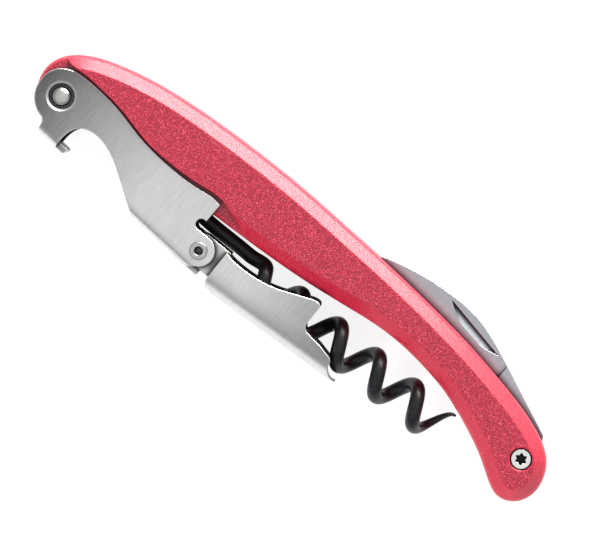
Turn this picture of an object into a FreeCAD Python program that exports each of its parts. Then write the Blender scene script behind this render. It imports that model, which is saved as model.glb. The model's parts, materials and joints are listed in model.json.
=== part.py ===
"""Waiter's corkscrew: red two-shell grip, folded two-stage boot lever, coated worm, folding blade.

Working axes: origin on the lever's pivot, X along the grip to its tail, Y to the grip's spine,
Z through the thickness with the grip's split plane at zero.
"""
import FreeCAD, Part
import math
import os

V = FreeCAD.Vector
Z_AXIS = V(0, 0, 1)

# ---------------------------------------------------------------- driving sizes, mm
DIMS = {
    "shift_x": -55.835, "shift_y": -2.784, "shift_z": 6.5,
    "handle_half": 6.5, "tongue_half": 4.5, "handle_facet": 2.6, "facet_round": 1.6,
    "plate_outer": 6.0, "plate_inner": 4.8, "sheet": 1.2, "bend_outer": 2.0, "bend_inner": 0.8,
    "neck_outer": 4.45, "neck_inner": 3.25, "boot_round": 4.5, "boot_round_inner": 3.3,
    "blade_half": 0.9, "blade_slot": 1.15, "spring_half": 1.0,
    "lug_half": 1.4, "lug_radius": 2.9, "lug_slot": 1.7, "shank_slot": 1.55,
    "wire_radius": 1.42, "helix_radius": 3.2, "helix_pitch": 9.33, "helix_turns": 5.0,
    "lever_bore": 1.37, "dome_radius": 1.8, "recess_radius": 2.4,
    "recess_rim": 2.82, "recess_depth": 0.8,
    "bush_radius": 2.2, "bush_bore": 1.34, "bush_half": 4.77,
    "knee_tube": 1.25, "knee_bore": 0.82, "knee_flange": 1.65, "knee_hole": 1.3,
    "worm_pin_radius": 1.5, "worm_pin_half": 4.4, "lug_bore": 1.56,
    "sleeve_radius": 1.9, "sleeve_bore": 1.12, "screw_radius": 1.08, "head_radius": 1.95,
    "dowel_radius": 1.25, "dowel_half": 4.0, "spring_pin_radius": 0.7, "spring_pin_half": 4.0,
    "slip": 0.02,
}
SIZE = dict(DIMS)

LEVER_PIVOT = (0.0, 0.0)
KNEE = (38.75, -6.45)
WORM_PIN = (30.0, -0.7)
BLADE_PIVOT = (111.3, 1.3)
HELIX_START_X = 50.0
HELIX_AXIS_Y = -3.95
DOWELS = {"shell_dowel_head": (14.0, 9.5), "shell_dowel_mid": (52.0, 9.6)}
SPRING_PINS = {"spring_pin_head": (46.0, 4.05), "spring_pin_tail": (74.0, 6.05)}

doc = FreeCAD.newDocument("waiters_corkscrew")
sheet = doc.addObject("Spreadsheet::Sheet", "dims")
for row, (alias, value) in enumerate(DIMS.items(), start=1):
    sheet.set("A%d" % row, alias)
    sheet.set("B%d" % row, str(value))
    sheet.setAlias("B%d" % row, alias)
doc.recompute()


# ---------------------------------------------------------------- outline helpers
def at(point, z=0.0):
    return V(point[0], point[1], z)


def polar(centre, radius, degrees):
    a = math.radians(degrees)
    return (centre[0] + radius * math.cos(a), centre[1] + radius * math.sin(a))


def lines(*points):
    return [Part.LineSegment(at(a), at(b)) for a, b in zip(points, points[1:])]


def closed_lines(*points):
    return lines(*points, points[0])


def curve(*points):
    spline = Part.BSplineCurve()
    spline.interpolate([at(p) for p in points])
    return [spline]


def loop(*points, spans=6):
    """Smooth closed outline, split into spans that keep its curvature."""
    spline = Part.BSplineCurve()
    spline.interpolate([at(p) for p in points], PeriodicFlag=True)
    knots = spline.getKnots()
    stops = [knots[i * (len(knots) - 1) // spans] for i in range(spans + 1)]
    pieces = []
    for first_knot, last_knot in zip(stops, stops[1:]):
        piece = spline.copy()
        piece.segment(first_knot, last_knot)
        pieces.append(piece)
    return pieces


def arc(start, middle, end):
    return [Part.Arc(at(start), at(middle), at(end))]


def circle(centre, radius):
    return [Part.Circle(at(centre), Z_AXIS, radius)]


# ---------------------------------------------------------------- feature helpers
def place(obj):
    for axis in "xyz":
        obj.setExpression("Placement.Base." + axis, "dims.shift_" + axis)


def new_body(name):
    body = doc.addObject("PartDesign::Body", name)
    body.Label = name
    place(body)
    return body


def plane(body, role):
    return next(f for f in body.Origin.OriginFeatures if f.Role == role)


def new_sketch(body, name, geometry, z=0.0, role="XY_Plane", turn=None):
    sketch = body.newObject("Sketcher::SketchObject", name)
    sketch.AttachmentSupport = [(plane(body, role), "")]
    sketch.MapMode = "FlatFace"
    rotation = turn or FreeCAD.Rotation()
    sketch.AttachmentOffset = FreeCAD.Placement(V(0, 0, z), rotation)
    sketch.addGeometry(geometry)
    sketch.Visibility = False
    return sketch


def extrude(body, name, geometry, z0, z1, length=None, remove=False):
    """Pad or pocket an outline from height z0 to z1; length is an optional driving expression."""
    kind = "PartDesign::Pocket" if remove else "PartDesign::Pad"
    sketch = new_sketch(body, name + "_sketch", geometry, z0)
    feature = body.newObject(kind, name)
    feature.Profile = (sketch, [""])
    feature.Length = abs(z1 - z0)
    if length:
        feature.setExpression("Length", length)
    feature.Reversed = (z1 > z0) if remove else (z1 < z0)
    return feature


def cut(body, name, geometry, z0, z1, length=None):
    before = checked(body)
    feature = extrude(body, name, geometry, z0, z1, length, remove=True)
    if checked(body) > before - 1e-4:
        raise RuntimeError(name + " removes nothing")
    return feature


def checked(body):
    """Volume of a body whose newest feature must have worked."""
    doc.recompute()
    if body.Tip and "Up-to-date" not in body.Tip.State:
        raise RuntimeError("%s is %s" % (body.Tip.Name, body.Tip.State))
    return body.Shape.Volume


def cylinder(body, name, centre, radius, z0, z1, remove=False):
    """Round boss or hole; radius is an expression on the spreadsheet."""
    kind = "PartDesign::SubtractiveCylinder" if remove else "PartDesign::AdditiveCylinder"
    feature = body.newObject(kind, name)
    feature.Height = z1 - z0
    feature.Placement = FreeCAD.Placement(at(centre, z0), FreeCAD.Rotation())
    feature.setExpression("Radius", radius)
    return feature


def hole(body, name, centre, radius, z0, z1):
    return cylinder(body, name, centre, radius, z0, z1, remove=True)


def dress(body, name, kind, size, wanted):
    """Fillet or chamfer every edge of the body's tip that passes the test."""
    checked(body)
    tip = body.Tip
    names = ["Edge%d" % i for i, edge in enumerate(tip.Shape.Edges, start=1) if wanted(edge)]
    if not names:
        raise RuntimeError(name + " finds no edge")
    feature = body.newObject("PartDesign::" + kind, name)
    feature.Base = (tip, names)
    prop = "Radius" if kind == "Fillet" else "Size"
    feature.setExpression(prop, size)
    return feature


def edge_points(edge, count=5):
    return edge.discretize(count)


def flat_at(z):
    """Test for edges that lie wholly at one height."""
    return lambda edge: all(abs(p.z - z) < 1e-4 for p in edge_points(edge))


def washer(name, centre, inner, outer, z0, z1):
    body = new_body(name)
    cylinder(body, name + "_disc", centre, outer, z0, z1)
    hole(body, name + "_bore", centre, inner, z0 - 1, z1 + 1)


def pin(name, centre, radius, half, chamfer="0.2"):
    body = new_body(name)
    cylinder(body, name + "_rod", centre, radius, -half, half)
    dress(body, name + "_ends", "Chamfer", chamfer, lambda e: len(e.Vertexes) == 1 or flat_at(half)(e))


# ---------------------------------------------------------------- the grip's outlines
GRIP_OUTLINE = loop(
    (-5.85, 1.6), (-5.0, 5.3), (-3.0, 7.7), (0.0, 9.6), (5.5, 11.6), (15, 13.6), (25, 14.6), (36, 15.08),
    (50, 15.0), (60, 14.5), (70, 13.95), (80, 13.1), (90, 11.9), (100, 10.1), (108, 8.1), (112, 6.5),
    (115.1, 4.4), (117.3, 0.4), (117.3, -3.25), (115.35, -6.15), (112.5, -7.15), (109.3, -6.0), (106, -3.9),
    (100, -0.9), (92, 2.0), (84, 3.45), (76, 3.8), (68, 2.95), (57, 1.6), (46, 0.85), (36, 0.5),
    (24, -0.1), (14, -0.7), (8, -1.15), (4.4, -2.6), (0.5, -4.65), (-3.0, -3.75), (-5.2, -1.0))

STEP_CURVE = curve(
    (-4.2, 6.6), (-3.2, 6.03), (0, 6.0), (5, 5.85), (10, 5.3), (15, 4.15), (18, 3.5), (21, 3.2), (25, 3.15),
    (30, 3.4), (35, 3.95), (37, 3.75), (38.7, 3.2), (40.2, 2.6), (42, 1.9), (44, 0.9), (45.4, 0.1))
STEP_AREA = STEP_CURVE + lines((45.4, 0.1), (47, -9), (-9, -9), (-9, 9), (-6, 8.0), (-4.2, 6.6))

# The open blade's heel lies along the stop wall; the clearance keeps it just free.
HEEL_CORNER = polar(BLADE_PIVOT, 5.95, 82)
TANG_RADIUS = 3.5
HEEL_TANGENT = polar(BLADE_PIVOT, TANG_RADIUS, 82 - math.degrees(math.acos(TANG_RADIUS / 5.95)))
STOP_GAP = 0.08
stop_near = (2 * BLADE_PIVOT[0] - HEEL_TANGENT[0] - STOP_GAP,
             2 * BLADE_PIVOT[1] - HEEL_TANGENT[1] - STOP_GAP)
stop_far = (2 * BLADE_PIVOT[0] - HEEL_CORNER[0] - STOP_GAP, 2 * BLADE_PIVOT[1] - HEEL_CORNER[1] - STOP_GAP)
stop_out = (stop_far[0] * 2 - stop_near[0], stop_far[1] * 2 - stop_near[1])
BLADE_WELL = closed_lines(
    (61.5, 22), (61.5, 12.2), (63.2, 10.4), (85, 7.5), (98.5, 5.4), (104, 3.2), (107.0, 1.3),
    stop_near, stop_far, stop_out, (124, -14), (124, 22))

SPRING_TOP = curve((27.6, 4.35), (46, 5.15), (60, 6.2), (74, 7.05), (88, 6.2), (98, 3.95), (104, 1.5),
                   (108.0, -0.6))
SPRING_LOW = curve((107.2, -2.45), (103, -0.35), (97, 2.1), (88, 4.25), (74, 5.05), (60, 4.2),
                   (46, 2.95), (27.6, 2.2))
SPRING_LEAF = (SPRING_TOP + lines((108.0, -0.6), (107.2, -2.45)) + SPRING_LOW
               + lines((27.6, 2.2), (27.6, 4.35)))
WELL_TOP = curve((26.6, 4.7), (46, 5.5), (60, 6.6), (74, 7.45), (88, 6.6), (98, 4.4), (104, 2.4),
                 (108.5, 0.6))
WELL_LOW = curve((107.6, -3.0), (103, -0.9), (97, 1.7), (88, 3.9), (74, 4.7), (60, 3.85), (46, 2.6),
                 (26.6, 1.8))
SPRING_WELL = (WELL_TOP + lines((108.5, 0.6), (107.6, -3.0)) + WELL_LOW
               + lines((26.6, 1.8), (26.6, 4.7)))


def make_shell(name, side):
    """One half of the grip: rounded pad, lowered tongue, wells for blade, spring and worm eye."""
    half = SIZE["handle_half"]
    tongue = SIZE["tongue_half"]
    body = new_body(name)
    extrude(body, name + "_pad", GRIP_OUTLINE, 0, side * half, "dims.handle_half")
    dress(body, name + "_facet", "Chamfer", "dims.handle_facet", flat_at(side * half))
    dress(body, name + "_facet_round", "Fillet", "dims.facet_round",
          flat_at(side * (half - SIZE["handle_facet"])))
    cut(body, name + "_step", STEP_AREA, side * half, side * tongue, "dims.handle_half - dims.tongue_half")
    extrude(body, name + "_lobe", circle(WORM_PIN, 4.3), 0, side * tongue, "dims.tongue_half")
    cut(body, name + "_blade_well", BLADE_WELL, 0, side * SIZE["blade_slot"], "dims.blade_slot")
    cut(body, name + "_spring_well", SPRING_WELL, 0, side * SIZE["blade_slot"], "dims.blade_slot")
    px, py = WORM_PIN
    eye_well = (arc((px, py + 3.1), (px - 3.1, py), (px, py - 3.1))
                + lines((px, py - 3.1), (px, py - 9), (px + 3.4, py - 9), (px + 3.4, py + 3.1),
                        (px, py + 3.1)))
    cut(body, name + "_eye_well", eye_well, 0, side * SIZE["lug_slot"], "dims.lug_slot")
    wire_well = closed_lines((px - 2.6, py), (px - 2.6, py - 9), (50, py - 9), (50, py + 1.5),
                             (px, py + 1.5))
    cut(body, name + "_wire_well", wire_well, 0, side * SIZE["shank_slot"], "dims.shank_slot")
    low, high = sorted((0.0, side * (half + 1)))
    hole(body, name + "_bush_hole", LEVER_PIVOT, "dims.bush_radius + dims.slip", low, high)
    hole(body, name + "_worm_pin_hole", WORM_PIN, "dims.worm_pin_radius + dims.slip", low, high)
    hole(body, name + "_sleeve_hole", BLADE_PIVOT, "dims.sleeve_radius + dims.slip", low, high)
    for label, centre in DOWELS.items():
        low, high = sorted((0.0, side * (SIZE["dowel_half"] + 0.1)))
        hole(body, name + "_" + label, centre, "dims.dowel_radius + dims.slip", low, high)
    for label, centre in SPRING_PINS.items():
        low, high = sorted((0.0, side * (SIZE["spring_pin_half"] + 0.1)))
        hole(body, name + "_" + label, centre, "dims.spring_pin_radius + dims.slip", low, high)
    return body


front = make_shell("handle_shell_front", 1)
hole(front, "screw_head_recess", BLADE_PIVOT, "dims.head_radius + 0.2", 4.6, 7.5)
back = make_shell("handle_shell_back", -1)
hole(back, "nut_head_recess", BLADE_PIVOT, "2.9", -7.5, -5.15)

for label, centre in DOWELS.items():
    pin(label, centre, "dims.dowel_radius", SIZE["dowel_half"])
for label, centre in SPRING_PINS.items():
    pin(label, centre, "dims.spring_pin_radius", SIZE["spring_pin_half"])
pin("worm_pin", WORM_PIN, "dims.worm_pin_radius", SIZE["worm_pin_half"])

# ---------------------------------------------------------------- back spring
spring = new_body("back_spring")
extrude(spring, "spring_leaf", SPRING_LEAF, -SIZE["spring_half"], SIZE["spring_half"],
        "2 * dims.spring_half")
cut(spring, "spring_eye_relief", circle(WORM_PIN, 3.0), 1.5, -1.5)
for label, centre in SPRING_PINS.items():
    hole(spring, "spring_hole_" + label, centre, "dims.spring_pin_radius + dims.slip", -2, 2)

# ---------------------------------------------------------------- pivot bush, washers
bush = new_body("pivot_bush")
cylinder(bush, "bush_barrel", LEVER_PIVOT, "dims.bush_radius", -SIZE["bush_half"], SIZE["bush_half"])
hole(bush, "bush_bore", LEVER_PIVOT, "dims.bush_bore", -6, 6)
for suffix, side in (("front", 1), ("back", -1)):
    low, high = sorted((side * 4.52, side * 4.76))
    washer("lever_washer_" + suffix, LEVER_PIVOT, "dims.bush_radius + 0.05", "4.1", low, high)
    low, high = sorted((side * 4.48, side * 4.76))
    washer("knee_washer_" + suffix, KNEE, "dims.knee_tube + 0.04", "2.7", low, high)
    low, high = sorted((side * 1.43, side * 1.67))
    washer("worm_washer_" + suffix, WORM_PIN, "dims.worm_pin_radius + 0.04", "2.8", low, high)
    low, high = sorted((side * 0.92, side * 1.12))
    washer("blade_washer_" + suffix, BLADE_PIVOT, "dims.sleeve_radius + 0.04", "3.3", low, high)

# ---------------------------------------------------------------- first boot lever
UPPER_TOP = curve((-4.98, 0.0), (-4.65, 2.4), (-3.2, 4.2), (-1.0, 5.25), (2, 5.55), (5, 5.45),
                  (10, 4.85), (16, 3.45),
                  (21, 2.72), (26, 2.48), (31, 2.7), (35.2, 3.08), (36.5, 2.85))
UPPER_END = (lines((36.5, 2.85), (36.4, -1.2)) + arc((36.4, -1.2), (34.93, -2.4), (36.3, -3.32))
             + lines((36.3, -3.32), (38.6, -3.35)))
UPPER_EAR = arc((38.6, -3.35), (41.8, -6.2), (40.0, -9.2)) + lines((40.0, -9.2), (38.5, -10.45))
UPPER_FOOT = lines((38.5, -10.45), (24.6, -9.45), (20, -6.2), (16, -3.6))
UPPER_MOUTH = curve((16, -3.6), (13, -2.2), (10, -1.6), (7.6, -2.0), (6, -3.2), (5.15, -5.2), (5.05, -8.32))
UPPER_HOOK = lines((5.05, -8.32), (0.35, -7.95), (0.2, -6.1), (-0.4, -5.35))
UPPER_HEAD = curve((-0.4, -5.35), (-2.5, -4.6), (-4.2, -2.9), (-4.98, 0.0))
UPPER_PLATE = UPPER_TOP + UPPER_END + UPPER_EAR + UPPER_FOOT + UPPER_MOUTH + UPPER_HOOK + UPPER_HEAD

outer = SIZE["plate_outer"]
inner = SIZE["plate_inner"]
sheet_t = SIZE["sheet"]
upper = new_body("lever_upper")
extrude(upper, "upper_block", UPPER_PLATE, -outer, outer, "2 * dims.plate_outer")


def near_line(a, b, heights):
    """Test for edges along the line a-b at one of the given heights."""
    direction = at(b) - at(a)
    normal = V(-direction.y, direction.x, 0).normalize()

    def test(edge):
        points = edge_points(edge)
        on_line = all(abs((V(p.x, p.y, 0) - at(a)).dot(normal)) < 0.02 for p in points)
        level = any(all(abs(p.z - h) < 1e-4 for p in points) for h in heights)
        return on_line and level
    return test


web_a, web_b = (24.6, -9.45), (38.5, -10.45)
hook_a, hook_b = (0.35, -7.95), (5.05, -8.32)


def inset(a, b, depth):
    """The line a-b moved towards +Y by the sheet's thickness."""
    direction = (at(b) - at(a)).normalize()
    shift = V(-direction.y, direction.x, 0) * depth
    return (a[0] + shift.x, a[1] + shift.y), (b[0] + shift.x, b[1] + shift.y)


dress(upper, "upper_bends", "Fillet", "dims.bend_outer",
      lambda e: near_line(web_a, web_b, (-outer, outer))(e) or near_line(hook_a, hook_b,
                                                                         (-outer, outer))(e))
web_ia, web_ib = inset(web_a, web_b, sheet_t)
hook_ia, hook_ib = inset(hook_a, hook_b, sheet_t)
slope = (web_ib[1] - web_ia[1]) / (web_ib[0] - web_ia[0])
channel = closed_lines((-8, 8), (-8, hook_ia[1] + 0.02), (9, hook_ib[1] - 0.3), (9, -3), (16, -12),
                       (20, web_ia[1] - slope * 4.6), (45, web_ib[1] + slope * 6.5), (45, 8))
cut(upper, "upper_channel", channel, -inner, inner, "2 * dims.plate_inner")
dress(upper, "upper_inner_bends", "Fillet", "dims.bend_inner",
      lambda e: near_line(web_ia, web_ib, (-inner, inner))(e) and e.Length > 8)
# slots in the foot that let the second lever's neck fold through
for side in (1, -1):
    slot = closed_lines((35.2, -12), (46, -12), (46, -8.6), (35.2, -8.6))
    cut(upper, "upper_slot_%s" % ("front" if side > 0 else "back"), slot, side * 3.15, side * 4.78)
foot = closed_lines((37.0, -9.13), (41.0, -9.35), (41.2, -9.7), (41.1, -10.55), (37.0, -10.34))
extrude(upper, "upper_foot_tongue", foot, -3.1, 3.1)
tooth = lines((3.5, -8.2), (6.6, -8.45)) + arc((6.6, -8.45), (7.1, -8.0),
                                               (7.0, -7.3)) + lines((7.0, -7.3), (3.5, -7.0),
                                                                                  (3.5, -8.2))
extrude(upper, "cap_tooth", tooth, -4.0, 4.0)
hole(upper, "upper_pivot_bore", LEVER_PIVOT, "dims.lever_bore", -8, 8)
hole(upper, "upper_knee_bore", KNEE, "dims.knee_hole", -8, 8)
for side in (1, -1):
    low, high = sorted((side * (outer - SIZE["recess_depth"]), side * (outer + 1)))
    hole(upper, "rivet_recess_%s" % ("front" if side > 0 else "back"), LEVER_PIVOT,
         "dims.recess_radius", low, high)
dress(upper, "rivet_recess_rims", "Chamfer", "dims.recess_rim - dims.recess_radius",
      lambda e: any(flat_at(z)(e) for z in (-outer, outer))
      and all(abs(p.x * p.x + p.y * p.y - SIZE["recess_radius"] ** 2) < 0.01 for p in edge_points(e)))

# ---------------------------------------------------------------- lever rivet, knee rivet
rivet = new_body("lever_rivet")
dome = SIZE["dome_radius"]
seat = outer - SIZE["recess_depth"] + 0.03
profile = (lines((0, -6.35), (0, 6.35)) + curve((0, 6.35), (0.9, 6.25), (1.5, 5.93), (dome, 5.5))
           + lines((dome, 5.5), (dome, seat), (1.3, seat), (1.3, -seat), (dome, -seat), (dome, -5.5))
           + curve((dome, -5.5), (1.5, -5.93), (0.9, -6.25), (0, -6.35)))
rivet_sketch = new_sketch(rivet, "lever_rivet_profile", profile, role="XZ_Plane")
turned = rivet.newObject("PartDesign::Revolution", "lever_rivet_turned")
turned.Profile = (rivet_sketch, [""])
turned.ReferenceAxis = (rivet_sketch, ["V_Axis"])
turned.Angle = 360

knee = new_body("knee_rivet")
cylinder(knee, "knee_tube", KNEE, "dims.knee_tube", -6.28, 6.28)
for side in (1, -1):
    low, high = sorted((side * 6.01, side * 6.28))
    suffix = "front" if side > 0 else "back"
    cylinder(knee, "knee_flange_" + suffix, KNEE, "dims.knee_flange", low, high)
    low, high = sorted((side * 4.6, side * 7))
    hole(knee, "knee_end_bore_" + suffix, KNEE, "dims.knee_bore", low, high)
dress(knee, "knee_rims", "Fillet", "0.15",
      lambda e: any(flat_at(z)(e) for z in (-6.28, 6.28)))

# ---------------------------------------------------------------- second boot lever
BOOT_TOP = curve((43.2, -3.35), (45.0, -3.76), (47.5, -3.86), (51, -3.6), (55, -2.65), (59, -1.0),
                 (60.7, -0.3),
                 (62.1, 0.18), (63.2, 0.05), (63.5, -0.6))
BOOT_NOTCH = lines((63.5, -0.6), (63.45, -3.9)) + arc((63.45, -3.9), (63.85, -5.1), (65.0, -5.62))
BOOT_END = lines((65.0, -5.62), (68, -5.98), (70.9, -6.65)) + curve((70.9, -6.65), (71.5, -7.2),
                                                                    (71.9, -8.6),
                                                               (72.6, -9.45), (74.6, -9.72))
BOOT_BASE = lines((74.6, -9.72), (74.6, -10.1), (45.4, -11.58)) + arc((45.4, -11.58), (43.9, -11.1),
                                                                      (43.2, -9.9))
BOOT_PLATE = BOOT_TOP + BOOT_NOTCH + BOOT_END + BOOT_BASE + lines((43.2, -9.9), (43.2, -3.35))
base_a, base_b = (45.4, -11.58), (74.6, -10.1)
tilt = math.degrees(math.atan2(base_b[1] - base_a[1], base_b[0] - base_a[0]))

lower = new_body("lever_lower")
extrude(lower, "boot_block", BOOT_PLATE, -outer, outer, "2 * dims.plate_outer")
boot_turn = FreeCAD.Rotation(Z_AXIS, tilt)


def boot_depth(point):
    """Height of a point measured square to the boot lever's floor."""
    t = math.radians(tilt)
    return point[1] * math.cos(t) - point[0] * math.sin(t)


def cut_along(name, geometry, start_x, length):
    """Pocket a cross-section along the boot lever's own length."""
    before = checked(lower)
    start = boot_turn.multVec(V(start_x / math.cos(math.radians(tilt)), 0, 0))
    sketch = new_sketch(lower, name + "_sketch", geometry)
    sketch.AttachmentOffset = FreeCAD.Placement(start, boot_turn.multiply(FreeCAD.Rotation(V(0, 1, 0), 90)))
    feature = lower.newObject("PartDesign::Pocket", name)
    feature.Profile = (sketch, [""])
    feature.Length = length
    feature.Reversed = True
    if checked(lower) > before - 10:
        raise RuntimeError(name + " removes nothing")


def quarter(x, y, radius, side):
    """Quarter bend from a wall at side*x down to a floor at y, as arc ends and middle."""
    k = radius * (1 - math.cos(math.radians(45)))
    return (side * x, y + radius), (side * (x - k), y + k), (side * (x - radius), y)


floor_out = boot_depth(base_a)
for side in (1, -1):
    wall, middle, base = quarter(outer, floor_out, SIZE["boot_round"], side)
    corner = (arc(wall, middle, base)
              + lines(base, (base[0], floor_out - 3), (side * 9, floor_out - 3), (side * 9, wall[1]), wall))
    cut_along("boot_bend_%s" % ("front" if side > 0 else "back"), corner, 40, 45)
floor_in = floor_out + sheet_t
right = quarter(inner, floor_in, SIZE["boot_round_inner"], 1)
left = quarter(inner, floor_in, SIZE["boot_round_inner"], -1)
inside = (arc(*right) + lines(right[2], left[2]) + arc(left[2], left[1], left[0])
          + lines(left[0], (-inner, 6), (inner, 6), right[0]))
cut_along("boot_channel", inside, 44.4, 40)
cut(lower, "boot_throat", closed_lines((40, -14), (45.2, -14), (45.2, 2), (40, 2)), -3.25, 3.25,
    "2 * dims.neck_inner")
kx, ky = KNEE
NECK = (lines((44.0, -3.05), (kx, -3.0)) + arc((kx, -3.0), (kx - 3.1, -6.1), (kx, -9.2))
        + lines((kx, -9.2), (44.0, -9.3), (44.0, -3.05)))
for side in (1, -1):
    extrude(lower, "boot_neck_%s" % ("front" if side > 0 else "back"), NECK, side * 3.25, side * 4.45,
            "dims.neck_outer - dims.neck_inner")
hole(lower, "boot_knee_bore", KNEE, "dims.knee_tube + 0.05", -8, 8)

# ---------------------------------------------------------------- blade
BLADE_SPINE = curve((64.2, 12.0), (66.3, 14.1), (70, 15.45), (76, 16.65), (80, 17.02), (84, 17.15),
                    (88, 16.8),
                    (94, 15.0), (100, 12.5), (105, 10.3), (109, 8.55), HEEL_CORNER)
BLADE_HEEL = lines(HEEL_CORNER, HEEL_TANGENT)
tang_end = polar(BLADE_PIVOT, TANG_RADIUS, 165)
BLADE_TANG = arc(HEEL_TANGENT, polar(BLADE_PIVOT, TANG_RADIUS, -85), tang_end)
BLADE_EDGE = (lines(tang_end, (104.4, 4.3), (99.6, 6.2)) + curve((99.6, 6.2), (98.6, 6.9), (97.4, 7.1))
              + curve((97.4, 7.1), (86, 8.6), (74, 10.0), (64.2, 12.0)))
blade = new_body("blade")
blade_half = SIZE["blade_half"]
extrude(blade, "blade_blank", BLADE_SPINE + BLADE_HEEL + BLADE_TANG + BLADE_EDGE, -blade_half, blade_half,
        "2 * dims.blade_half")
# flat grind from spine to edge, ending at the plunge line
PLUNGE_X = 98.5
for side in (1, -1):
    wedge = closed_lines((6.4, side * 0.12), (17.4, side * 0.84), (17.4, side * 3), (6.4, side * 3))
    grind = new_sketch(blade, "grind_sketch_%s" % ("front" if side > 0 else "back"), wedge, 0, "YZ_Plane")
    grind.AttachmentOffset = FreeCAD.Placement(V(0, 0, PLUNGE_X), FreeCAD.Rotation())
    before = checked(blade)
    bevel = blade.newObject("PartDesign::Pocket", "grind_%s" % ("front" if side > 0 else "back"))
    bevel.Profile = (grind, [""])
    bevel.Length = 50
    if checked(blade) > before - 1:
        bevel.Reversed = True
    if checked(blade) > before - 1:
        raise RuntimeError("grind removes nothing")
hole(blade, "blade_bore", BLADE_PIVOT, "dims.sleeve_radius + 0.05", -3, 3)
# nail nick: a long scoop whose floor falls towards its straight edge
nick_a, nick_b = (82.2, 16.2), (95.8, 13.5)
NICK_WIDTH = 1.6
NICK_FALL = 20
nick_length = at(nick_b).distanceToPoint(at(nick_a))
nick_turn = FreeCAD.Rotation(Z_AXIS, math.degrees(math.atan2(nick_b[1] - nick_a[1], nick_b[0] - nick_a[0])))
nick_outline = (lines((0, 0), (nick_length, 0))
                + arc((nick_length, 0), (nick_length / 2, -NICK_WIDTH), (0, 0)))
nick_sketch = new_sketch(blade, "nail_nick_sketch", nick_outline)
nick_sketch.AttachmentOffset = FreeCAD.Placement(
    at(nick_a, 0.08), nick_turn.multiply(FreeCAD.Rotation(V(1, 0, 0), -NICK_FALL)))
before = checked(blade)
nick = blade.newObject("PartDesign::Pocket", "nail_nick")
nick.Profile = (nick_sketch, [""])
nick.Length = 4
nick.Reversed = True
if checked(blade) > before - 1:
    raise RuntimeError("nail nick removes nothing")

# ---------------------------------------------------------------- blade screw and barrel nut
screw = new_body("blade_screw")
cylinder(screw, "screw_shank", BLADE_PIVOT, "dims.screw_radius", -3.0, 5.0)
cylinder(screw, "screw_head", BLADE_PIVOT, "dims.head_radius", 4.62, 6.4)
LOBES = 6
lobe_points = []
for i in range(4 * LOBES):
    turn = 2 * math.pi * i / (4 * LOBES)
    reach = 1.0 + 0.18 * math.cos(LOBES * turn)
    lobe_points.append((BLADE_PIVOT[0] + reach * math.cos(turn), BLADE_PIVOT[1] + reach * math.sin(turn)))
cut(screw, "screw_drive", loop(*lobe_points), 6.4, 5.2)
dress(screw, "screw_rim", "Chamfer", "0.12",
      lambda e: flat_at(6.4)(e) and all(abs(at(BLADE_PIVOT, p.z).distanceToPoint(p) - 1.95) < 0.01
                                        for p in edge_points(e)))

nut = new_body("blade_nut")
cylinder(nut, "nut_barrel", BLADE_PIVOT, "dims.sleeve_radius", -5.6, 4.58)
cylinder(nut, "nut_head", BLADE_PIVOT, "2.8", -6.4, -5.18)
hole(nut, "nut_bore", BLADE_PIVOT, "dims.sleeve_bore", -4.0, 6)

# ---------------------------------------------------------------- worm
WIRE = SIZE["wire_radius"]
TAPER_TURNS = 0.6


def helix_point(turns):
    angle = 2 * math.pi * turns
    taper = max(0.0, turns - (SIZE["helix_turns"] - TAPER_TURNS)) / TAPER_TURNS
    radius = SIZE["helix_radius"] + 0.25 * taper
    x = HELIX_START_X + SIZE["helix_pitch"] * turns
    return V(x, HELIX_AXIS_Y + radius * math.cos(angle), radius * math.sin(angle))


def section(point, direction, radius):
    return Part.Wire([Part.Circle(point, direction, radius).toShape()])


def wire_sweep(points, radius):
    """Round wire along a smooth path; also its end point and end direction."""
    path = Part.BSplineCurve()
    path.interpolate(points)
    pipe = Part.BRepOffsetAPI.MakePipeShell(Part.Wire([path.toShape()]))
    pipe.setFrenetMode(False)
    for parameter in (path.FirstParameter, path.LastParameter):
        pipe.add(section(path.value(parameter), path.tangent(parameter)[0], radius))
    pipe.build()
    pipe.makeSolid()
    return pipe.shape(), path.value(path.LastParameter), path.tangent(path.LastParameter)[0]


py = WORM_PIN[1]
SHANK_DROP = 0.6
straight = ([V(32.0, py - 0.2, 0), V(34.5, py - 0.45, 0)]
            + [V(x, py - SHANK_DROP, 0) for x in (38.0, 42.0, 46.0, 47.4)])
first = 0.075
body_turns = SIZE["helix_turns"] - TAPER_TURNS
count = int(round((body_turns - first) * 14))
coil_points = [helix_point(first + (body_turns - first) * i / count) for i in range(count + 1)]
coil = doc.addObject("Part::Feature", "worm_coil")
coil.Shape, coil_end, coil_heading = wire_sweep(straight + coil_points, WIRE)
# drawn point: the wire thins evenly over the last part of a turn
TIP_RADIUS = 0.26
TIP_SECTIONS = 7
tip_sections = [section(coil_end, coil_heading, WIRE)]
for i in range(1, TIP_SECTIONS + 1):
    turns = body_turns + TAPER_TURNS * i / TIP_SECTIONS
    heading = (helix_point(turns + 1e-4) - helix_point(turns - 1e-4)).normalize()
    thin = WIRE + (TIP_RADIUS - WIRE) * i / TIP_SECTIONS
    tip_sections.append(section(helix_point(turns), heading, thin))
tip = doc.addObject("Part::Feature", "worm_tip")
tip.Shape = Part.makeLoft(tip_sections, True, False, False)
eye = doc.addObject("Part::Cylinder", "worm_eye")
eye.setExpression("Radius", "dims.lug_radius")
eye.setExpression("Height", "2 * dims.lug_half")
eye.Placement.Base = at(WORM_PIN, -SIZE["lug_half"])
blank = doc.addObject("Part::MultiFuse", "worm_blank")
blank.Shapes = [coil, tip, eye]
bore = doc.addObject("Part::Cylinder", "worm_bore")
bore.setExpression("Radius", "dims.lug_bore")
bore.Height = 6
bore.Placement.Base = at(WORM_PIN, -3)
worm = doc.addObject("Part::Cut", "worm")
worm.Base = blank
worm.Tool = bore
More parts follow.
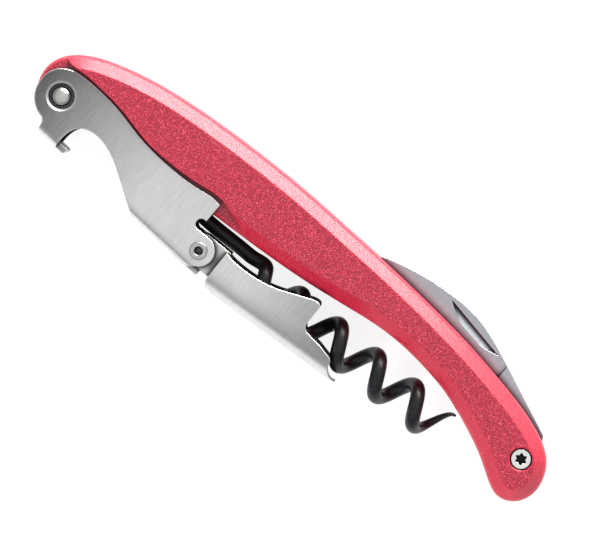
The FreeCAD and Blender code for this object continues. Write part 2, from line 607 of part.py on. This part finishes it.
worm.Label = "worm"
place(worm)

# ---------------------------------------------------------------- check and write
doc.recompute()
bad = [o.Name for o in doc.Objects if "Invalid" in o.State or "Error" in o.State]
if bad:
    raise RuntimeError("objects in error: " + ", ".join(bad))
pieces = [o for o in doc.Objects if o.TypeId == "PartDesign::Body"] + [worm]
os.makedirs("parts", exist_ok=True)
for piece in pieces:
    shape = piece.Shape
    if shape.isNull() or not shape.isValid() or len(shape.Solids) != 1:
        raise RuntimeError("%s is not one valid solid (%d)" % (piece.Label, len(shape.Solids)))
    shape.exportStep(os.path.join("parts", piece.Label + ".step"))
    print("%-22s %9.2f mm3" % (piece.Label, shape.Volume))
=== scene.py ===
"""Looks of the waiter's corkscrew: camera, light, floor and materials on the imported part."""
import bpy
import json
import math
from mathutils import Matrix, Vector


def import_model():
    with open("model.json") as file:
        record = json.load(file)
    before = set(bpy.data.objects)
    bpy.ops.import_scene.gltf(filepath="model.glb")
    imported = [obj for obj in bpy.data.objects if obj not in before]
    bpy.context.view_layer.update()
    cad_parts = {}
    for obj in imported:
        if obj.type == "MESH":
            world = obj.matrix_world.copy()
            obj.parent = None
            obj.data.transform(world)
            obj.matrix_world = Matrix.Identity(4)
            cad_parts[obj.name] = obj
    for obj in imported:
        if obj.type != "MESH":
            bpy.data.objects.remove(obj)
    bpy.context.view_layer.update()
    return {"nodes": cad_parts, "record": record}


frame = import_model()
bpy.context.scene.view_settings.view_transform = "Standard"
NODES = frame["nodes"]
MM = 0.001


# ---------------------------------------------------------------- shader helpers
# The colour sockets of Blender's Mix node, by number because their names repeat.
MIX_FACTOR, MIX_A, MIX_B, MIX_RESULT = 0, 6, 7, 2
BEVEL_SAMPLES = 6
# Samples for the painted shade in gaps and recesses.
PAINTED_SHADE_SAMPLES = 8
# How far the rounded normal turns from the true one where a rim is whole, as a loss of their dot product.
RIM_TURN = 0.10


def set_stops(ramp, stops):
    """Give a colour ramp node its stops, each a position and a colour."""
    elements = ramp.color_ramp.elements
    while len(elements) < len(stops):
        elements.new(0.5)
    for element, (position, colour) in zip(elements, stops):
        element.position = position
        element.color = (*colour, 1)


class Shader:
    """A small builder for one node material. Lengths are in metres and colours are linear."""

    def __init__(self, name):
        self.material = bpy.data.materials.new(name)
        self.material.use_nodes = True
        self.tree = self.material.node_tree
        self.tree.nodes.clear()
        self.bsdf = self.node("ShaderNodeBsdfPrincipled")
        output = self.node("ShaderNodeOutputMaterial")
        self.link(self.bsdf.outputs[0], output.inputs["Surface"])
        self.coords = self.node("ShaderNodeTexCoord").outputs["Object"]

    def node(self, kind, **values):
        n = self.tree.nodes.new(kind)
        for key, value in values.items():
            setattr(n, key, value)
        return n

    def link(self, a, b):
        self.tree.links.new(a, b)

    def set(self, **values):
        """Set constants on the surface shader, with underscores for the spaces in a socket's name."""
        for key, value in values.items():
            self.bsdf.inputs[key.replace("_", " ")].default_value = value

    def colour(self, value):
        self.link(value, self.bsdf.inputs["Base Color"])

    def roughness(self, value, low, high):
        self.link(self.span(value, low, high), self.bsdf.inputs["Roughness"])

    def noise(self, vector, scale, detail, rough=0.55):
        n = self.node("ShaderNodeTexNoise")
        n.inputs["Scale"].default_value = scale
        n.inputs["Detail"].default_value = detail
        n.inputs["Roughness"].default_value = rough
        self.link(vector, n.inputs["Vector"])
        return n.outputs["Fac"]

    def brushing(self, across, along, turn, detail, rough):
        """Noise drawn out into lines, across and along per metre, turned by degrees in the split plane."""
        m = self.node("ShaderNodeMapping")
        m.inputs["Scale"].default_value = (across, along, along)
        m.inputs["Rotation"].default_value = (0, 0, math.radians(turn))
        self.link(self.coords, m.inputs["Vector"])
        return self.noise(m.outputs[0], 1.0, detail, rough)

    def cells(self, scale):
        """Random numbers, three to a cell, with scale cells to the metre."""
        n = self.node("ShaderNodeTexVoronoi")
        n.inputs["Scale"].default_value = scale
        self.link(self.coords, n.inputs["Vector"])
        split = self.node("ShaderNodeSeparateColor")
        self.link(n.outputs["Color"], split.inputs[0])
        return split.outputs

    def component(self, vector, axis):
        split = self.node("ShaderNodeSeparateXYZ")
        self.link(vector, split.inputs[0])
        return split.outputs[axis]

    def ramp(self, value, *stops):
        r = self.node("ShaderNodeValToRGB")
        set_stops(r, stops)
        self.link(value, r.inputs[0])
        return r.outputs[0]

    def span(self, value, low, high, from_low=0.0, from_high=1.0):
        m = self.node("ShaderNodeMapRange")
        m.inputs["From Min"].default_value = from_low
        m.inputs["From Max"].default_value = from_high
        m.inputs["To Min"].default_value = low
        m.inputs["To Max"].default_value = high
        self.link(value, m.inputs["Value"])
        return m.outputs[0]

    def mix(self, factor, a, b):
        """a where factor is 0, b where it is 1; each can be a socket or a constant."""
        m = self.node("ShaderNodeMix", data_type="RGBA")
        for number, value in ((MIX_FACTOR, factor), (MIX_A, a), (MIX_B, b)):
            socket = m.inputs[number]
            if hasattr(value, "links"):
                self.link(value, socket)
            elif isinstance(value, tuple):
                socket.default_value = (*value, 1)
            else:
                socket.default_value = value
        return m.outputs[MIX_RESULT]

    def soft_edges(self, radius):
        """The normal with every edge rounded by a radius."""
        soft = self.node("ShaderNodeBevel", samples=BEVEL_SAMPLES)
        soft.inputs["Radius"].default_value = radius
        return soft.outputs[0]

    def facing(self, normal, low, high):
        """0 on the sides, rising to 1 where the surface lies parallel to the grip's split plane."""
        size = self.node("ShaderNodeMath", operation="ABSOLUTE")
        self.link(self.component(normal, "Z"), size.inputs[0])
        return self.span(size.outputs[0], 0.0, 1.0, low, high)

    def rim(self, radius):
        """1 on a thin line along each sharp edge, 0 on the face."""
        dot = self.node("ShaderNodeVectorMath", operation="DOT_PRODUCT")
        self.link(self.soft_edges(radius), dot.inputs[0])
        self.link(self.node("ShaderNodeNewGeometry").outputs["Normal"], dot.inputs[1])
        return self.span(dot.outputs["Value"], 1.0, 0.0, 1.0 - RIM_TURN, 1.0)

    def with_painted_shade(self, colour, dark, reach, closed, clear, keep=0.0):
        """A colour with painted shade: dark inside gaps and recesses narrower than about reach.

        It is darkest where the open share of the surroundings is closed or less, and unchanged where
        that share is clear or more. keep is the share of the colour left where it is darkest.
        """
        ao = self.node("ShaderNodeAmbientOcclusion", samples=PAINTED_SHADE_SAMPLES)
        ao.inputs["Distance"].default_value = reach
        return self.mix(self.span(ao.outputs["AO"], keep, 1.0, closed, clear), dark, colour)

    def normal(self, height, strength, distance, edge=0.0, coat=False):
        """Bump from a height, over edges softened by a radius; coat bumps the clear coat too."""
        b = self.node("ShaderNodeBump")
        b.inputs["Strength"].default_value = strength
        b.inputs["Distance"].default_value = distance
        self.link(height, b.inputs["Height"])
        if edge:
            self.link(self.soft_edges(edge), b.inputs["Normal"])
        self.link(b.outputs[0], self.bsdf.inputs["Normal"])
        if coat:
            self.link(b.outputs[0], self.bsdf.inputs["Coat Normal"])


# ---------------------------------------------------------------- red paint
FLAKES_PER_METRE = 7600.0
FLAKE_TONES = ((0.0, (0.09, 0.002, 0.009)), (0.35, (0.32, 0.008, 0.033)),
               (0.85, (0.54, 0.019, 0.060)), (1.0, (0.92, 0.15, 0.21)))
PLAIN_RED = (0.36, 0.008, 0.036)
# A brighter red for the rounded facets: a painted reflection.
FACET_PAINTED_REFLECTION_RED = (0.66, 0.012, 0.048)
# Painted shade colour for the paint's narrow recesses.
RED_PAINTED_SHADE = (0.05, 0.002, 0.005)
FACET_FLAKE = 0.35


def red_paint():
    """Red lacquer over fine metal flake: grainy on the broad faces, smoother and brighter on the facets,
    where the brightness is a painted reflection; painted shade in recesses.
    """
    s = Shader("red_metallic_lacquer")
    tint, gloss, height = s.cells(FLAKES_PER_METRE)
    flake = s.ramp(tint, *FLAKE_TONES)
    cloud = s.noise(s.coords, 90.0, detail=4.0)
    grainy = s.mix(s.span(cloud, 0.0, 0.2), flake, PLAIN_RED)
    # On the rounded facets the red is brighter, a painted reflection, and has less flake.
    facet_with_painted_reflection = s.mix(FACET_FLAKE, FACET_PAINTED_REFLECTION_RED, flake)
    lacquer = s.mix(s.facing(s.soft_edges(0.0009), 0.86, 0.985), facet_with_painted_reflection, grainy)
    # Painted shade in the paint's narrow recesses.
    s.colour(s.with_painted_shade(lacquer, RED_PAINTED_SHADE, reach=0.0015, closed=0.34, clear=0.92, keep=0.45))
    s.roughness(gloss, 0.40, 0.60)
    s.set(Metallic=0.25, Specular_IOR_Level=0.12, Coat_Weight=0.8, Coat_Roughness=0.27, Coat_IOR=1.7)
    s.normal(height, strength=0.40, distance=0.00005, edge=0.0005, coat=True)
    return s.material


# ---------------------------------------------------------------- bare metal
SHEET_DARK, SHEET_LIGHT = (0.74, 0.745, 0.76), (0.97, 0.97, 0.98)
# Painted shade colours for the sheet: on sides near the floor and in wide recesses, and in narrow gaps.
SHEET_SHADE, SHEET_GAP_SHADE = (0.05, 0.05, 0.053), (0.02, 0.02, 0.022)
BLADE_DARK, BLADE_LIGHT = (0.48, 0.51, 0.56), (0.64, 0.67, 0.73)
# The second colour on this line is painted shade for the blade's recesses.
BLADE_PLAIN, BLADE_GAP_SHADE = (0.53, 0.56, 0.61), (0.05, 0.055, 0.06)
# Painted shade colour for recesses in turned metal.
TURNED_GAP_SHADE = (0.02, 0.022, 0.026)


def brushed_steel(name, shade_fade, painted_shade):
    """Sheet steel with fine brushing, a painted highlight along its sharp edges, and painted shade in its
    recesses and on its sides near the floor.

    The second argument is the stretch of the sheet's flats, in metres along the tool, over which the
    painted shade on the flats turns bright.
    The third is the darkest and the lightest grey of the brushing in that painted shade.
    """
    s = Shader(name)
    low, high = painted_shade
    lines = s.brushing(2200.0, 240.0, turn=-12, detail=5.0, rough=0.75)
    cloud = s.noise(s.coords, 70.0, detail=3.0)
    bright = s.ramp(lines, (0.2, SHEET_DARK), (0.8, SHEET_LIGHT))
    bright = s.mix(s.span(cloud, 0.0, 0.35, 0.3, 0.7), bright, SHEET_DARK)
    # Painted shade on the flats: the brushing in darker greys, fading out along the tool.
    shade = s.ramp(lines, (0.25, (low, low * 1.02, low * 1.05)),
                   (0.75, (high, high * 1.02, high * 1.04)))
    shaded_flats = s.mix(s.span(s.component(s.coords, "X"), 0.0, 1.0, *shade_fade), shade, bright)
    face = s.node("ShaderNodeTexCoord").outputs["Normal"]
    sheet = s.mix(s.facing(face, 0.75, 0.99), bright, shaded_flats)
    # Painted highlight: a light line along each sharp edge.
    rim_highlighted = s.mix(s.rim(0.0004), sheet, SHEET_LIGHT)
    # Painted shade on the sides near the floor and in wide recesses, then in narrow gaps.
    shaded = s.with_painted_shade(rim_highlighted, SHEET_SHADE, reach=0.014, closed=0.40, clear=0.72)
    s.colour(s.with_painted_shade(shaded, SHEET_GAP_SHADE, reach=0.0013, closed=0.50, clear=0.88))
    s.roughness(lines, 0.32, 0.50)
    s.set(Metallic=1.0)
    s.normal(lines, strength=0.14, distance=0.00004, edge=0.0003)
    return s.material


def blade_steel():
    """Ground blade steel with fine lines across the blade, and painted shade in its recesses."""
    s = Shader("ground_blade_steel")
    lines = s.brushing(3000.0, 130.0, turn=-10, detail=4.0, rough=0.7)
    cloud = s.noise(s.coords, 220.0, detail=4.0)
    tone = s.ramp(lines, (0.25, BLADE_DARK), (0.8, BLADE_LIGHT))
    ground = s.mix(s.span(cloud, 0.0, 0.5, 0.35, 0.7), tone, BLADE_PLAIN)
    # Painted shade in the blade's recesses, such as the nail nick.
    s.colour(s.with_painted_shade(ground, BLADE_GAP_SHADE, reach=0.0016, closed=0.50, clear=0.96))
    s.roughness(lines, 0.34, 0.46)
    s.set(Metallic=1.0)
    s.normal(lines, strength=0.08, distance=0.00003, edge=0.00015)
    return s.material


def turned_metal(name, dark, light, rough, reach=0.0011):
    """Plain turned metal for rivets, pins and washers, with painted shade in its recesses."""
    s = Shader(name)
    marks = s.noise(s.coords, 900.0, detail=4.0, rough=0.6)
    tone = s.ramp(marks, (0.3, dark), (0.7, light))
    # Painted shade in the recesses, such as a screw's drive.
    s.colour(s.with_painted_shade(tone, TURNED_GAP_SHADE, reach, closed=0.55, clear=0.92))
    s.roughness(marks, rough, rough + 0.12)
    s.set(Metallic=1.0)
    s.normal(marks, strength=0.05, distance=0.00002, edge=0.00015)
    return s.material


# ---------------------------------------------------------------- black coating
COATING_DARK, COATING_LIGHT = (0.006, 0.0065, 0.008), (0.013, 0.014, 0.017)


def worm_black():
    """Black non-stick coating, faintly grained."""
    s = Shader("black_coating")
    grain = s.noise(s.coords, 1800.0, detail=3.0)
    s.colour(s.ramp(grain, (0.3, COATING_DARK), (0.8, COATING_LIGHT)))
    s.roughness(grain, 0.30, 0.42)
    s.set(Specular_IOR_Level=0.32)
    s.normal(grain, strength=0.06, distance=0.00003)
    return s.material


# ---------------------------------------------------------------- a finish for each piece
SCREW = turned_metal("plated_screw_steel", (0.90, 0.90, 0.89), (0.97, 0.97, 0.96), 0.42,
                     reach=0.0024)
# By material slot.
FINISH = {
    "red_paint": red_paint(),
    "black_worm": worm_black(),
    "blade_steel": blade_steel(),
    "rivet_steel": turned_metal("rivet_steel", (0.55, 0.55, 0.54), (0.80, 0.79, 0.77), 0.20),
    "spring_steel": turned_metal("spring_steel", (0.30, 0.30, 0.31), (0.46, 0.46, 0.48), 0.32),
    "bearing_brass": turned_metal("bearing_brass", (0.55, 0.38, 0.16), (0.74, 0.56, 0.28), 0.30),
}
# By piece, ahead of its slot.
OWN_FINISH = {
    # Painted shade on the levers' flats: very dark over the upper lever's head, darker over part of the
    # lower lever.
    "lever_upper": brushed_steel("brushed_head_steel", shade_fade=(-0.062, -0.032), painted_shade=(0.075, 0.17)),
    "lever_lower": brushed_steel("brushed_boot_steel", shade_fade=(0.014, -0.006), painted_shade=(0.30, 0.46)),
    "blade_screw": SCREW,
    "blade_nut": SCREW,
}
for entry in frame["record"]["subparts"]:
    mesh = NODES[entry["node"]].data
    mesh.materials.clear()
    mesh.materials.append(OWN_FINISH.get(entry["node"]) or FINISH[entry["material_slot"]])


# ---------------------------------------------------------------- floor
FLOOR_SIZE = 6.0
FLOOR_GAP = 0.00002
FLOOR_DARK, FLOOR_LIGHT = (0.17, 0.17, 0.17), (0.20, 0.20, 0.20)


def floor():
    """A pale floor just under the part. It gives off light, so that shadows on it stay faint."""
    bpy.ops.mesh.primitive_plane_add(size=FLOOR_SIZE, location=(0, 0, -FLOOR_GAP))
    plane = bpy.context.object
    plane.name = "floor"
    s = Shader("pale_floor")
    s.colour(s.ramp(s.noise(s.coords, 300.0, detail=2.0), (0.0, FLOOR_DARK), (1.0, FLOOR_LIGHT)))
    s.set(Roughness=0.9, Emission_Color=(1, 1, 1, 1), Emission_Strength=0.86)
    plane.data.materials.append(s.material)


floor()


# ---------------------------------------------------------------- light
# The surround's grey by height: 0 is the horizon and everything below it, 1 is straight overhead.
SURROUND = ((0.0, 0.12), (0.25, 0.22), (0.6, 0.58), (0.85, 0.72), (1.0, 0.67))
# The photo's right and up, laid flat in the part's frame.
RIGHT = Vector((0.777, 0.629, 0.0)).normalized()
UP = Vector((-0.629, 0.777, 0.0)).normalized()
WARM_WHITE = (1.0, 0.96, 0.88)
WHITE = (1, 1, 1)


def world():
    """Studio surround: dark round the horizon, bright high up, a little less bright straight overhead."""
    w = bpy.data.worlds.new("studio")
    bpy.context.scene.world = w
    w.use_nodes = True
    tree = w.node_tree
    background = tree.nodes["Background"]
    coords = tree.nodes.new("ShaderNodeTexCoord")
    split = tree.nodes.new("ShaderNodeSeparateXYZ")
    ramp = tree.nodes.new("ShaderNodeValToRGB")
    set_stops(ramp, [(height, (grey, grey, grey)) for height, grey in SURROUND])
    tree.links.new(coords.outputs["Generated"], split.inputs[0])
    tree.links.new(split.outputs["Z"], ramp.inputs[0])
    tree.links.new(ramp.outputs[0], background.inputs["Color"])
    background.inputs["Strength"].default_value = 1.0


def around(right, up, height):
    """A point beside the part, in metres to the photo's right, up the photo and above the floor."""
    return RIGHT * right + UP * up + Vector((0, 0, height))


def softbox(name, position, size, watts, colour):
    """A rectangular lamp that points at the middle of the part."""
    data = bpy.data.lights.new(name, "AREA")
    data.color = colour
    data.shape = "RECTANGLE"
    data.size, data.size_y = size
    data.energy = watts
    lamp = bpy.data.objects.new(name, data)
    bpy.context.scene.collection.objects.link(lamp)
    lamp.location = position
    lamp.rotation_mode = "QUATERNION"
    lamp.rotation_quaternion = (-position).to_track_quat("-Z", "Y")
    return lamp


world()
softbox("key", around(0.26, 0.56, 0.20), size=(0.60, 0.34), watts=12.0, colour=WARM_WHITE)
fill = softbox("fill", around(-0.36, -0.44, 0.34), size=(0.35, 0.35), watts=4.2, colour=WHITE)
# The fill lights the dark side only, with no highlight of its own.
fill.visible_glossy = False


# ---------------------------------------------------------------- camera
FOCAL_LENGTH_MM = 250.0
SENSOR_WIDTH_MM = 36.0
CLIP = (0.01, 10.0)
AIM_MM = (0.165, 0.116, 12.0)
DISTANCE_MM = 792.2
LEAN_DEGREES = 3.0


def camera():
    """The photo's camera: far off, almost straight above, a few degrees to the side of the grip's back."""
    data = bpy.data.cameras.new("camera")
    data.lens = FOCAL_LENGTH_MM
    data.sensor_width = SENSOR_WIDTH_MM
    data.clip_start, data.clip_end = CLIP
    data.dof.use_dof = False
    cam = bpy.data.objects.new("camera", data)
    bpy.context.scene.collection.objects.link(cam)
    lean = math.radians(LEAN_DEGREES)
    back = Vector((0, math.sin(lean), math.cos(lean)))
    side = (RIGHT - back * RIGHT.dot(back)).normalized()
    top = back.cross(side)
    cam.matrix_world = Matrix((
        (side.x, top.x, back.x, 0),
        (side.y, top.y, back.y, 0),
        (side.z, top.z, back.z, 0),
        (0, 0, 0, 1)))
    cam.location = Vector(AIM_MM) * MM + back * DISTANCE_MM * MM
    bpy.context.scene.camera = cam


camera()
